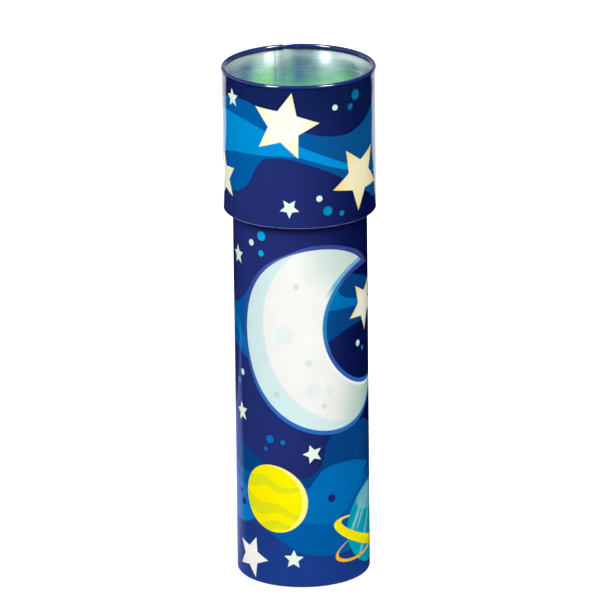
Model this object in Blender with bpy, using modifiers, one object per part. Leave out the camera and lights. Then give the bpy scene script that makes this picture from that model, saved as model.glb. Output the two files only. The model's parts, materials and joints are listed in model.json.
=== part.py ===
"""A tin kaleidoscope standing on its eyepiece end: a printed tube with a mirror prism inside, and a
wide cap at the top that turns on it and carries a cell of loose beads between two discs.

Metres, +Z up. The origin is the centre of the ring that the tube stands on, and +Z is the axis of
the tube, of the prism and of the turning cap.
"""

import math

import bmesh
import bpy
from mathutils import Matrix, Vector

# Driving dimensions
HEIGHT = 0.1755  # standing ring to the cap's rim
TUBE_R = 0.0223  # outside of the tube
CAP_R = 0.0254  # outside of the cap's wall
CAP_EDGE_Z = 0.1265  # lower edge of the cap
TIN = 0.0003  # tinplate
GAP = 0.0003  # between pieces that bear on each other
RUN_GAP = 0.00045  # between the cap's pieces and the tube, so that the cap turns
ROUND_STEPS = 48

# The tube and its eyepiece end
FOOT_BEND_R = 0.00105  # bend from the wall into the standing ring
FOOT_FLAT = 0.0012  # width of the flat that the tube stands on
FOOT_LIP_R = 0.0006
BEAD_R = 0.00095  # outward curl at the tube's top end
EYE_PLATE_Z = 0.0026
EYE_RIM_H = 0.0035
EYE_RIM_BEND_R = 0.0007
EYE_DISH_DEPTH = 0.002
EYE_DISH_OUTER_R = 0.013
EYE_DISH_INNER_R = 0.008
EYE_HOLE_R = 0.0045
WINDOW_R = 0.012
WINDOW_T = 0.001

# The mirror prism and the cards that centre it
CARD_T = 0.0012
MIRROR_W = 0.033
MIRROR_T = 0.0012
APERTURE_SIDE = 0.0325
TAPE_T = 0.0002
TAPE_W = 0.012
TAPE_PLACES = (0.2, 0.8)  # shares of the prism's length

# The cap and the bead cell
HEM_BEND_R = 0.0006
RIM_CURL_R = 0.00055
RIM_FLARE = 0.0002  # how far the curl stands out from the wall
RIM_NECK_H = 0.0035  # rim to the start of the flare
RECESS_DEPTH = 0.019  # rim to the diffuser's face
INSERT_R = CAP_R - TIN - 0.00035  # discs and rings inside the cap
DISC_T = 0.0012
CELL_H = 0.008
SPACER_WALL = 0.0011
SEAT_T = 0.002
SEAT_HOLE_R = 0.0196
WIRE_R = 0.0006
WIRE_GAP_DEG = 20.0
SLEEVE_GAP = 0.0006  # between the sleeve's end and the tube's curl

# Loose pieces in the cell
BEAD_COUNT = 22
BEAD_FIELD_R = 0.0198  # farthest centre from the axis
GOLDEN_ANGLE = math.pi * (3.0 - math.sqrt(5.0))

# The stack inside the cap, worked down from the rim
DIFFUSER_Z = HEIGHT - RECESS_DEPTH - DISC_T
SPACER_Z = DIFFUSER_Z - GAP - CELL_H
CELL_FLOOR_Z = SPACER_Z - GAP - DISC_T
SEAT_Z = CELL_FLOOR_Z - GAP - SEAT_T
TUBE_TOP_Z = SEAT_Z - RUN_GAP
BEAD_CURL_Z = TUBE_TOP_Z - TIN / 2 - BEAD_R
SLEEVE_Z = CAP_EDGE_Z + TIN + GAP
SLEEVE_TOP_Z = BEAD_CURL_Z - BEAD_R - TIN / 2 - SLEEVE_GAP

# The stack inside the tube, worked up from the eyepiece
WINDOW_Z = EYE_PLATE_Z + EYE_DISH_DEPTH + TIN + GAP
EYE_CARD_Z = WINDOW_Z + WINDOW_T + GAP
MIRROR_Z = EYE_CARD_Z + CARD_T + GAP
MASK_Z = TUBE_TOP_Z - CARD_T - GAP
MIRROR_TOP_Z = MASK_Z - GAP
CARD_R = TUBE_R - TIN - 0.00035

MATERIALS = {
    # name: (colour, roughness, metallic, transmission)
    "printed_tin": ((0.022, 0.036, 0.16), 0.22, 0.0, 0.0),
    "bare_tin": ((0.78, 0.79, 0.80), 0.3, 1.0, 0.0),
    "clear_plastic": ((0.92, 0.95, 0.96), 0.06, 0.0, 1.0),
    "frosted_plastic": ((0.9, 0.93, 0.93), 0.5, 0.0, 0.7),
    "mirror": ((0.9, 0.92, 0.93), 0.03, 1.0, 0.0),
    "grey_card": ((0.36, 0.34, 0.31), 0.9, 0.0, 0.0),
    "paper_tape": ((0.72, 0.62, 0.42), 0.7, 0.0, 0.0),
    "white_plastic": ((0.82, 0.83, 0.82), 0.4, 0.0, 0.0),
    "spring_wire": ((0.62, 0.62, 0.6), 0.25, 1.0, 0.0),
    "green_bead": ((0.04, 0.5, 0.1), 0.1, 0.0, 0.6),
    "blue_bead": ((0.02, 0.16, 0.62), 0.1, 0.0, 0.6),
    "aqua_bead": ((0.03, 0.5, 0.55), 0.1, 0.0, 0.6),
    "yellow_bead": ((0.9, 0.62, 0.05), 0.1, 0.0, 0.6),
    "red_bead": ((0.7, 0.03, 0.06), 0.1, 0.0, 0.6),
}
BEAD_COLOURS = (
    "green_bead", "blue_bead", "aqua_bead", "green_bead", "yellow_bead", "green_bead",
    "blue_bead", "red_bead",
)


def clear_scene():
    for obj in list(bpy.data.objects):
        bpy.data.objects.remove(obj, do_unlink=True)


def collection(name):
    made = bpy.data.collections.new(name)
    bpy.context.scene.collection.children.link(made)
    return made


def material(name):
    if name in bpy.data.materials:
        return bpy.data.materials[name]
    colour, roughness, metallic, transmission = MATERIALS[name]
    made = bpy.data.materials.new(name)
    made.use_nodes = True
    shader = made.node_tree.nodes["Principled BSDF"]
    shader.inputs["Base Color"].default_value = (*colour, 1.0)
    shader.inputs["Roughness"].default_value = roughness
    shader.inputs["Metallic"].default_value = metallic
    shader.inputs["Transmission Weight"].default_value = transmission
    return made


def add_object(name, data, material_name, into):
    obj = bpy.data.objects.new(name, data)
    if material_name:
        data.materials.append(material(material_name))
    into.objects.link(obj)
    return obj


def hide_cutter(obj):
    obj.hide_render = True
    obj.display_type = "WIRE"


def arc(centre_r, centre_z, radius, start_deg, end_deg, steps):
    """Points (r, z) on an arc. 0 degrees points away from the axis and 90 degrees points up."""
    points = []
    for i in range(steps + 1):
        angle = math.radians(start_deg + (end_deg - start_deg) * i / steps)
        points.append((centre_r + radius * math.cos(angle), centre_z + radius * math.sin(angle)))
    return points


def profile_mesh(name, points, closed):
    """A chain of edges in the XZ plane, for a Screw to turn."""
    mesh = bpy.data.meshes.new(name)
    edges = [(i, i + 1) for i in range(len(points) - 1)]
    if closed:
        edges.append((len(points) - 1, 0))
    mesh.from_pydata([(r, 0.0, z) for r, z in points], edges, [])
    return mesh


def add_screw(obj):
    screw = obj.modifiers.new("Turn", "SCREW")
    screw.axis = "Z"
    screw.angle = math.tau
    screw.steps = ROUND_STEPS
    screw.render_steps = ROUND_STEPS
    screw.use_merge_vertices = True
    screw.merge_threshold = 0.00001
    screw.use_smooth_shade = True


def turned_sheet(name, path, material_name, into):
    """A sheet of tinplate turned about the axis. The path is the middle of its thickness."""
    obj = add_object(name, profile_mesh(name, path, closed=False), material_name, into)
    add_screw(obj)
    thick = obj.modifiers.new("Tinplate", "SOLIDIFY")
    thick.thickness = TIN
    thick.offset = 0.0
    thick.use_even_offset = True
    return obj


def turned_ring(name, inner_r, outer_r, low_z, high_z, material_name, into):
    """A ring of rectangular section, its outline running down the outer side."""
    outline = [(outer_r, high_z), (outer_r, low_z), (inner_r, low_z), (inner_r, high_z)]
    obj = add_object(name, profile_mesh(name, outline, closed=True), material_name, into)
    add_screw(obj)
    return obj


def prism_mesh(name, radius, height, sides):
    """An upright cylinder or prism, its base centre at the mesh's origin."""
    mesh = bpy.data.meshes.new(name)
    shape = bmesh.new()
    bmesh.ops.create_cone(
        shape, cap_ends=True, segments=sides, radius1=radius, radius2=radius, depth=height,
        matrix=Matrix.Translation((0.0, 0.0, height / 2)),
    )
    shape.to_mesh(mesh)
    shape.free()
    return mesh


def disc(name, radius, low_z, thickness, material_name, into):
    obj = add_object(name, prism_mesh(name, radius, thickness, ROUND_STEPS), material_name, into)
    obj.location.z = low_z
    return obj


def tube_shell(into):
    """The printed tube: a folded-in standing ring below and an outward curl above."""
    wall_r = TUBE_R - TIN / 2
    foot_r = wall_r - FOOT_BEND_R - FOOT_FLAT
    path = arc(foot_r, FOOT_LIP_R + TIN / 2, FOOT_LIP_R, 180, 270, 3)
    path += arc(wall_r - FOOT_BEND_R, FOOT_BEND_R + TIN / 2, FOOT_BEND_R, 270, 360, 4)
    path += arc(wall_r + BEAD_R, BEAD_CURL_Z, BEAD_R, 180, -90, 8)
    return turned_sheet("tube_shell", path, "printed_tin", into)


def eyepiece_end(into):
    """A pan pressed into the tube's lower end, dished towards the sight hole."""
    rim_r = CARD_R - TIN / 2
    plate_z = EYE_PLATE_Z + TIN / 2
    path = [(rim_r, plate_z + EYE_RIM_H)]
    path += arc(rim_r - EYE_RIM_BEND_R, plate_z + EYE_RIM_BEND_R, EYE_RIM_BEND_R, 0, -90, 3)
    path += [
        (EYE_DISH_OUTER_R, plate_z),
        (EYE_DISH_INNER_R, plate_z + EYE_DISH_DEPTH),
        (EYE_HOLE_R, plate_z + EYE_DISH_DEPTH),
    ]
    return turned_sheet("eyepiece_end", path, "bare_tin", into)


def aperture_card(name, low_z, into, cutters):
    """A card disc with a triangular hole in line with the prism."""
    card = disc(name, CARD_R, low_z, CARD_T, "grey_card", into)
    corner_r = APERTURE_SIDE / math.sqrt(3.0)
    depth = 3 * CARD_T
    hole = add_object(
        name + "_hole", prism_mesh(name + "_hole", corner_r, depth, 3), None, cutters
    )
    hole.location.z = low_z - CARD_T
    hide_cutter(hole)
    cut = card.modifiers.new("Aperture", "BOOLEAN")
    cut.operation = "DIFFERENCE"
    cut.object = hole
    return card


def mirror_reach():
    """Distance from the axis to a mirror's silvered face."""
    return MIRROR_W / (2 * math.sqrt(3.0)) + GAP / 2


def mirror(index, into):
    """One strip of the prism, its silvered face towards the axis."""
    length = MIRROR_TOP_Z - MIRROR_Z
    name = f"mirror_{index + 1}"
    mesh = bpy.data.meshes.new(name)
    shape = bmesh.new()
    size = Matrix.Diagonal((MIRROR_T, MIRROR_W, length, 1.0))
    bmesh.ops.create_cube(shape, size=1.0, matrix=size)
    shape.to_mesh(mesh)
    shape.free()
    obj = add_object(name, mesh, "mirror", into)
    angle = math.pi / 3 + index * math.tau / 3
    reach = mirror_reach() + MIRROR_T / 2
    obj.location = (reach * math.cos(angle), reach * math.sin(angle), MIRROR_Z + length / 2)
    obj.rotation_euler.z = angle
    return obj


def prism_outline(clear):
    """The six outer corners of the three strips, moved out by a clearance."""
    back = mirror_reach() + MIRROR_T + clear
    half = MIRROR_W / 2 + clear * math.tan(math.radians(30.0))
    corners = []
    for side in range(3):
        angle = math.pi / 3 + side * math.tau / 3
        turn = Matrix.Rotation(angle, 2)
        corners += [turn @ Vector((back, -half)), turn @ Vector((back, half))]
    return corners


def mirror_tape(name, share, into):
    """A band of tape round the three strips."""
    corners = prism_outline(GAP)
    low_z = MIRROR_Z + share * (MIRROR_TOP_Z - MIRROR_Z) - TAPE_W / 2
    mesh = bpy.data.meshes.new(name)
    shape = bmesh.new()
    ring = [shape.verts.new((*corner, low_z)) for corner in corners]
    edges = [shape.edges.new((ring[i - 1], ring[i])) for i in range(len(ring))]
    wall = bmesh.ops.extrude_edge_only(shape, edges=edges)["geom"]
    raised = [item for item in wall if isinstance(item, bmesh.types.BMVert)]
    bmesh.ops.translate(shape, verts=raised, vec=(0.0, 0.0, TAPE_W))
    bmesh.ops.recalc_face_normals(shape, faces=shape.faces)
    shape.to_mesh(mesh)
    shape.free()
    obj = add_object(name, mesh, "paper_tape", into)
    thick = obj.modifiers.new("Tape", "SOLIDIFY")
    thick.thickness = TAPE_T
    thick.offset = 1.0
    thick.use_even_offset = True
    return obj


def cap_shell(into):
    """The turning cap: a flange turned in at its lower edge and a proud inward curl at its rim."""
    wall_r = CAP_R - TIN / 2
    flange_z = CAP_EDGE_Z + TIN / 2
    path = [(TUBE_R + RUN_GAP, flange_z)]
    path += arc(wall_r - HEM_BEND_R, flange_z + HEM_BEND_R, HEM_BEND_R, 270, 360, 3)
    path.append((wall_r, HEIGHT - RIM_NECK_H))
    curl_r = wall_r + RIM_FLARE - RIM_CURL_R
    path += arc(curl_r, HEIGHT - TIN / 2 - RIM_CURL_R, RIM_CURL_R, 0, 270, 6)
    return turned_sheet("cap_shell", path, "printed_tin", into)


def retaining_ring(into):
    """A split ring of round wire that holds the diffuser down."""
    name = "retaining_ring"
    curve = bpy.data.curves.new(name, "CURVE")
    curve.dimensions = "3D"
    curve.bevel_depth = WIRE_R
    curve.bevel_resolution = 2
    curve.use_fill_caps = True
    spline = curve.splines.new("POLY")
    spline.points.add(ROUND_STEPS - 1)
    ring_r = INSERT_R - WIRE_R
    centre_z = DIFFUSER_Z + DISC_T + GAP + WIRE_R
    sweep = math.radians(360.0 - WIRE_GAP_DEG)
    for i, point in enumerate(spline.points):
        angle = math.radians(WIRE_GAP_DEG / 2 - 90.0) + sweep * i / (ROUND_STEPS - 1)
        point.co = (ring_r * math.cos(angle), ring_r * math.sin(angle), centre_z, 1.0)
    return add_object(name, curve, "spring_wire", into)


def round_bead_mesh():
    """A ball 4.4 mm across, its lowest point at the mesh's origin."""
    radius = 0.0022
    mesh = bpy.data.meshes.new("round_bead")
    shape = bmesh.new()
    bmesh.ops.create_uvsphere(
        shape, u_segments=12, v_segments=8, radius=radius,
        matrix=Matrix.Translation((0.0, 0.0, radius)),
    )
    shape.to_mesh(mesh)
    shape.free()
    return mesh


def gem_mesh():
    """A cut stone 5 mm across and 3.2 mm tall: a flat table and a blunt pavilion."""
    girdle_z = 0.0018
    height = 0.0032
    girdle_r = 0.0025
    mesh = bpy.data.meshes.new("gem")
    shape = bmesh.new()
    below = bmesh.ops.create_cone(
        shape, cap_ends=True, segments=8, radius1=0.0009, radius2=girdle_r, depth=girdle_z,
        matrix=Matrix.Translation((0.0, 0.0, girdle_z / 2)),
    )
    girdle = [v for v in below["verts"] if v.co.z > girdle_z / 2]
    table = [f for f in shape.faces if all(v in girdle for v in f.verts)]
    crown = bmesh.ops.extrude_face_region(shape, geom=table)["geom"]
    bmesh.ops.delete(shape, geom=table, context="FACES_ONLY")
    risen = [item for item in crown if isinstance(item, bmesh.types.BMVert)]
    bmesh.ops.translate(shape, verts=risen, vec=(0.0, 0.0, height - girdle_z))
    bmesh.ops.scale(shape, verts=risen, vec=(0.62, 0.62, 1.0))
    shape.to_mesh(mesh)
    shape.free()
    return mesh


def tube_bead_mesh():
    """A short glass tube 3 mm across and 5 mm long, lying on its side along X."""
    outer_r, inner_r, half_length = 0.0015, 0.0007, 0.0025
    mesh = bpy.data.meshes.new("tube_bead")
    shape = bmesh.new()
    corners = ((outer_r, 1), (outer_r, -1), (inner_r, -1), (inner_r, 1))
    section = [shape.verts.new((r, 0.0, end * half_length)) for r, end in corners]
    edges = [shape.edges.new((section[i], section[(i + 1) % 4])) for i in range(4)]
    bmesh.ops.spin(
        shape, geom=section + edges, cent=(0, 0, 0), axis=(0, 0, 1), angle=math.tau, steps=12,
        use_merge=True,
    )
    bmesh.ops.recalc_face_normals(shape, faces=shape.faces)
    shape.transform(Matrix.Translation((0, 0, outer_r)) @ Matrix.Rotation(math.pi / 2, 4, "Y"))
    shape.to_mesh(mesh)
    shape.free()
    return mesh


def chip_mesh():
    """A flat three-sided chip 2 mm thick."""
    return prism_mesh("chip", 0.0028, 0.002, 3)


def star_curve():
    """A flat five-pointed star 2 mm thick."""
    outer_r, inner_r, thickness = 0.0029, 0.0014, 0.002
    curve = bpy.data.curves.new("star_chip", "CURVE")
    curve.dimensions = "2D"
    curve.fill_mode = "BOTH"
    curve.extrude = thickness / 2
    spline = curve.splines.new("POLY")
    spline.points.add(9)
    spline.use_cyclic_u = True
    for i, point in enumerate(spline.points):
        radius = inner_r if i % 2 else outer_r
        angle = i * math.tau / 10
        point.co = (radius * math.cos(angle), radius * math.sin(angle), 0.0, 1.0)
    return curve, thickness / 2


def loose_pieces(into):
    """Beads, stones, tubes, chips and stars spread on the cell's floor on a sunflower spiral."""
    star, star_lift = star_curve()
    kinds = (
        ("round_bead", round_bead_mesh(), 0.0),
        ("gem", gem_mesh(), 0.0),
        ("tube_bead", tube_bead_mesh(), 0.0),
        ("chip", chip_mesh(), 0.0),
        ("star_chip", star, star_lift),
    )
    made = []
    for i in range(BEAD_COUNT):
        kind, data, lift = kinds[(i * 3) % len(kinds)]
        number = 1 + sum(1 for obj in made if obj.name.startswith(kind))
        obj = bpy.data.objects.new(f"{kind}_{number}", data)
        if not data.materials:
            data.materials.append(None)
        obj.material_slots[0].link = "OBJECT"
        obj.material_slots[0].material = material(BEAD_COLOURS[i % len(BEAD_COLOURS)])
        into.objects.link(obj)
        reach = BEAD_FIELD_R * math.sqrt((i + 0.3) / (BEAD_COUNT - 0.7))
        angle = i * GOLDEN_ANGLE
        floor = CELL_FLOOR_Z + DISC_T + GAP + lift
        obj.location = (reach * math.cos(angle), reach * math.sin(angle), floor)
        obj.rotation_euler.z = angle * 1.7
        made.append(obj)
    return made


def cap_axis(into):
    """The empty that the turning pieces hang from, on the cap's axis."""
    empty = bpy.data.objects.new("cap_axis", None)
    empty.empty_display_size = 0.01
    empty.location.z = CAP_EDGE_Z
    into.objects.link(empty)
    return empty


def carry(empty, pieces):
    for piece in pieces:
        piece.parent = empty
        piece.matrix_parent_inverse = Matrix.Translation(-empty.location)


def shade(obj):
    if obj.type == "MESH" and len(obj.data.polygons):
        obj.data.shade_smooth()
        obj.data.set_sharp_from_angle(angle=math.radians(35.0))


def main():
    clear_scene()
    parts = collection("kaleidoscope")
    cutters = collection("cutters")
    fixed = [
        tube_shell(parts),
        eyepiece_end(parts),
        disc("eyepiece_window", WINDOW_R, WINDOW_Z, WINDOW_T, "clear_plastic", parts),
        aperture_card("eyepiece_card", EYE_CARD_Z, parts, cutters),
        aperture_card("mask_card", MASK_Z, parts, cutters),
    ]
    fixed += [mirror(i, parts) for i in range(3)]
    fixed += [mirror_tape(f"mirror_tape_{i + 1}", share, parts) for i, share in enumerate(TAPE_PLACES)]
    turning = [
        cap_shell(parts),
        turned_ring(
            "bearing_sleeve", TUBE_R + RUN_GAP, INSERT_R, SLEEVE_Z, SLEEVE_TOP_Z, "grey_card", parts
        ),
        turned_ring(
            "cell_seat", SEAT_HOLE_R, INSERT_R, SEAT_Z, SEAT_Z + SEAT_T, "white_plastic", parts
        ),
        disc("cell_floor", INSERT_R, CELL_FLOOR_Z, DISC_T, "clear_plastic", parts),
        turned_ring(
            "cell_spacer", INSERT_R - SPACER_WALL, INSERT_R, SPACER_Z, SPACER_Z + CELL_H,
            "white_plastic", parts,
        ),
        disc("diffuser", INSERT_R, DIFFUSER_Z, DISC_T, "frosted_plastic", parts),
        retaining_ring(parts),
    ]
    loose = loose_pieces(parts)
    carry(cap_axis(parts), turning + loose)
    for obj in fixed + turning + loose:
        shade(obj)


main()
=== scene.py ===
"""Looks of the tin kaleidoscope: the printed tin tube and cap as single lapped sheets, the bare tin
inside, the frosted disc in its wire ring, the loose beads, and a plain bright studio.

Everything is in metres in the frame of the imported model: +Z is the tube's axis and -Y its front.
The print is drawn by shader nodes on the unrolled surface. Across is the distance round the
surface from the front, to the right. Up is the height above the print's own base line, which is
close to the standing ring. Both are in millimetres.
"""

import json
import math

import bmesh
import bpy
import numpy as np
from mathutils import Matrix, Vector


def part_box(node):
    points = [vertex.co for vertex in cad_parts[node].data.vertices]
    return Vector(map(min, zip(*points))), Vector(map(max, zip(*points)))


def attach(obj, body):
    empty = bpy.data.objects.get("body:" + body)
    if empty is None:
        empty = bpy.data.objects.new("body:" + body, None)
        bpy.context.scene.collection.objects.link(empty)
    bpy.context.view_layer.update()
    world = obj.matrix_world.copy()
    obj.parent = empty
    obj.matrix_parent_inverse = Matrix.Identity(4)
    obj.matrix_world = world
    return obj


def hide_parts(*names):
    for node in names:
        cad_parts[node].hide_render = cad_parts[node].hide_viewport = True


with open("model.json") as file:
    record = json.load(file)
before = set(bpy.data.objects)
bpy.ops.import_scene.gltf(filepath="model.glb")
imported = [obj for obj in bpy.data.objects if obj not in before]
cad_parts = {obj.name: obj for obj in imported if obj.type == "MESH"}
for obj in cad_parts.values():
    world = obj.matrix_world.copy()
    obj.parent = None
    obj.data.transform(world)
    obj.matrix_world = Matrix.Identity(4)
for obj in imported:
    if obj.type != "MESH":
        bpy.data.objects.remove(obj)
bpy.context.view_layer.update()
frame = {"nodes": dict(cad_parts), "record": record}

# Sizes in metres
MM = 0.001
TIN = 0.0003  # thickness of the sheet
SIDE_CLEAR = 0.00003  # between the two layers of a lap
TUBE_R = 0.0223
CAP_R = 0.0254
CAP_EDGE_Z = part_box("cap_shell")[0].z
HEIGHT = 0.1755
TUBE_TOP_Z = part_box("tube_shell")[1].z
FOOT_BEND_R = 0.00105
FOOT_FLAT = 0.0012
FOOT_LIP_R = 0.0006
BEAD_R = 0.00095
HEM_BEND_R = 0.0006
RIM_CURL_R = 0.00055
RIM_FLARE = 0.0002  # how far the curl stands out from the wall
RIM_NECK_H = 0.006  # rim to the start of the flare
RIM_CREASE_H = 0.00115  # rim to the crease below the curl
RIM_CREASE_DEG = -42.0  # where the wall meets the curl
RIM_TUCK = 0.0006  # the curl's inner side is pressed flat for this height
RUN_GAP = 0.00045  # between the tube and the cap's flange
SEAM_DEG = -168.0  # where both sheets lap, measured from the front
LAP_DEG = 6.0
JOGGLE_DEG = 12.0  # over which the far end steps in under the near end
WIRE_GAP_DEG = 20.0  # between the ends of the wire ring
ROUND_STEPS = 288
FLARE_STEPS = 20
SHARP_DEG = 40.0

# Base lines of the two prints, in millimetres above the standing ring
CAP_PRINT_BASE = 0.45
TUBE_PRINT_BASE = 1.0

# The view: a long lens a little above the rim, turned by a slight lean
CAMERA_SENSOR = 36.0
CAMERA_LENS = 465.5
CAMERA_DISTANCE = 2.617
CAMERA_ELEVATION = 18.0
CAMERA_ROLL = -0.61
CAMERA_AIM = (0.00101, 0.0, 0.0925)

# Lamps aimed at the middle of the object: azimuth from the front and elevation in degrees, then
# distance, width and height in metres, and watts
LAMPS = {
    "left_softbox": (-45.0, 40.0, 0.9, 0.22, 0.6, 6.0),
    "left_glint": (-45.0, 42.0, 0.91, 0.2, 0.5, 5.0),
    "right_glint": (49.0, 42.0, 0.91, 0.2, 0.5, 5.0),
    "right_softbox": (47.0, 40.0, 0.9, 0.22, 0.6, 4.9),
    "back_softbox": (180.0, 42.0, 1.1, 0.7, 0.5, 5.0),
}
ONLY_IN_GLOSS = ("left_glint", "right_glint")  # these light nothing, and show as highlights
NOT_IN_GLOSS = ("back_softbox",)
LAMP_AIM_SHARE = 0.6  # of the object's height

# The room as gloss sees it: where its bright walls fade in and out, in degrees from the front
LEFT_WALL = (-150.0, -140.0, -36.0, -24.0)
RIGHT_WALL = (12.0, 22.0, 62.0, 74.0)
BACK_WALL = (140.0, 146.0)
WALL_FOOT, WALL_TOP = (-0.1, -0.05), (0.3, 0.16)
LEFT_WALL_GLOW = 1.5
RIGHT_WALL_GLOW = 1.2
WORLD_TOP = 0.2
WORLD_FILL = 0.006

# The floor's bright parts as gloss sees them: distances in metres over which each fades
FLOOR_SIZE = 6.0
FLOOR_DROP = 0.0002
FAR_START, FAR_END, FAR_SIDE, FAR_SLANT = (0.381, 0.401), (0.64, 0.56), (0.38, 0.34), 0.05
MIDDLE_START, MIDDLE_END, MIDDLE_LEFT, MIDDLE_SLANT = (0.0, 0.05), (0.3, 0.26), (-0.035, -0.005), 0.35
NEAR_START, NEAR_END, NEAR_LEFT, NEAR_SLANT = (-0.03, 0.0), (0.17, 0.145), (-0.06, 0.0), 1.3
BESIDE = (0.03, 0.0)
FLOOR_GLOW = 0.75  # as the camera sees it
FAR_GLOW = 1.3
MIDDLE_GLOW = 0.85
NEAR_GLOW = 0.75


# ---------------------------------------------------------------- shader arithmetic


class Field:
    """A number that varies over a surface: the output of a shader node, with arithmetic."""

    def __init__(self, tree, socket):
        self.tree = tree
        self.socket = socket

    def math(self, operation, *values):
        node = self.tree.nodes.new("ShaderNodeMath")
        node.operation = operation
        for slot, value in zip(node.inputs, (self, *values)):
            join(self.tree, value, slot)
        return Field(self.tree, node.outputs[0])

    def __add__(self, other):
        return self.math("ADD", other)

    def __sub__(self, other):
        return self.math("SUBTRACT", other)

    def __mul__(self, other):
        return self.math("MULTIPLY", other)

    def __rsub__(self, other):
        return self * -1.0 + other

    def __neg__(self):
        return self * -1.0

    def most(self, other):
        return self.math("MAXIMUM", other)

    def size(self):
        return self.math("ABSOLUTE")

    def root(self):
        return self.math("SQRT")

    def ramp(self, low, high):
        """0 where this is at low, 1 at high, smooth between."""
        node = self.tree.nodes.new("ShaderNodeMapRange")
        node.interpolation_type = "SMOOTHSTEP"
        join(self.tree, self, node.inputs["Value"])
        node.inputs["From Min"].default_value = low
        node.inputs["From Max"].default_value = high
        return Field(self.tree, node.outputs["Result"])


def join(tree, value, slot):
    """Puts a field, a socket, a colour or a number into an input."""
    if isinstance(value, Field):
        tree.links.new(value.socket, slot)
    elif isinstance(value, bpy.types.NodeSocket):
        tree.links.new(value, slot)
    elif isinstance(value, tuple):
        slot.default_value = (*value[:3], 1.0)
    else:
        slot.default_value = value


def srgb(red, green, blue):
    """A colour given as display values from 0 to 255, as the linear values that a shader takes."""
    shares = [channel / 255.0 for channel in (red, green, blue)]
    return tuple(c / 12.92 if c <= 0.04045 else ((c + 0.055) / 1.055) ** 2.4 for c in shares)


class Paint:
    """Colours laid over each other on one material."""

    def __init__(self, tree, ground):
        self.tree = tree
        self.colour = ground

    def over(self, cover, colour):
        mix = self.tree.nodes.new("ShaderNodeMix")
        mix.data_type = "RGBA"
        join(self.tree, cover, mix.inputs[0])
        join(self.tree, self.colour, mix.inputs[6])
        join(self.tree, colour, mix.inputs[7])
        self.colour = mix.outputs[2]
        return self


EDGE = 0.07  # millimetres over which a printed edge changes


def inside(distance, soft=EDGE):
    """1 where a signed distance is below 0, and 0 where it is above."""
    return distance.ramp(soft, -soft)


class Sheet:
    """The unrolled surface of one printed cylinder, as fields in millimetres."""

    def __init__(self, tree, radius, base=0.0):
        self.tree = tree
        coordinates = tree.nodes.new("ShaderNodeTexCoord")
        self.place = coordinates.outputs["Object"]
        split = tree.nodes.new("ShaderNodeSeparateXYZ")
        tree.links.new(self.place, split.inputs[0])
        x, y, z = (Field(tree, out) for out in split.outputs)
        # The angle jumps from one end of its range to the other at the lap seam.
        turn = math.radians(SEAM_DEG + 180.0)
        right = x * math.cos(turn) + y * math.sin(turn)
        ahead = x * math.sin(turn) - y * math.cos(turn)
        self.angle = right.math("ARCTAN2", ahead) + turn
        self.across = self.angle * (radius / MM)
        self.level = z * (1.0 / MM)
        self.up = self.level - base
        self.reach = math.pi * radius / MM
        self.seam = math.radians(SEAM_DEG) * radius / MM

    def offset(self, across, up):
        return self.across - across, self.up - up

    def dot(self, across, up, radius):
        """The distance outside a circle, or from its centre where the radius is 0."""
        dx, dy = self.offset(across, up)
        return (dx * dx + dy * dy).root() - radius

    def oval(self, across, up, half_width, half_height, turn_deg=0.0):
        """Roughly the distance outside an ellipse, turned anticlockwise."""
        dx, dy = self.offset(across, up)
        c, s = math.cos(math.radians(turn_deg)), math.sin(math.radians(turn_deg))
        along = (dx * c + dy * s) * (1.0 / half_width)
        over = (dy * c - dx * s) * (1.0 / half_height)
        return ((along * along + over * over).root() - 1.0) * min(half_width, half_height)

    def star(self, across, up, radius, turn_deg, waist=0.47):
        """The distance outside a five-pointed star with one tip at turn_deg."""
        dx, dy = self.offset(across, up)
        length = (dx * dx + dy * dy).root()
        angle = dy.math("ARCTAN2", dx) - math.radians(turn_deg)
        folded = angle.math("PINGPONG", math.pi / 5)
        notch = Vector((math.cos(math.pi / 5), math.sin(math.pi / 5))) * radius * waist
        side = notch - Vector((radius, 0.0))
        normal = Vector((side.y, -side.x)).normalized()
        px = length * folded.math("COSINE")
        py = length * folded.math("SINE")
        return px * normal.x + py * normal.y - radius * normal.x

    def ridge(self, points):
        """A smooth line round the sheet, through (across, up) points from left to right."""
        low = min(up for _, up in points) - 1.0
        high = max(up for _, up in points) + 1.0
        node = self.tree.nodes.new("ShaderNodeFloatCurve")
        share = (self.across - self.seam) * (0.5 / self.reach)
        join(self.tree, share, node.inputs["Value"])
        curve = node.mapping.curves[0]
        places = [((a - self.seam) * 0.5 / self.reach, (u - low) / (high - low)) for a, u in points]
        places = [(0.0, places[0][1]), *places, (1.0, places[-1][1])]
        while len(curve.points) < len(places):
            curve.points.new(0.5, 0.5)
        for point, place in zip(curve.points, places):
            point.location = place
            point.handle_type = "AUTO"
        node.mapping.update()
        return Field(self.tree, node.outputs["Value"]) * (high - low) + low

    def between(self, low, high):
        """1 between two lines, and 0 above and below them."""
        return inside(low - self.up) * inside(self.up - high)


# ---------------------------------------------------------------- inks and painted light

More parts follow.
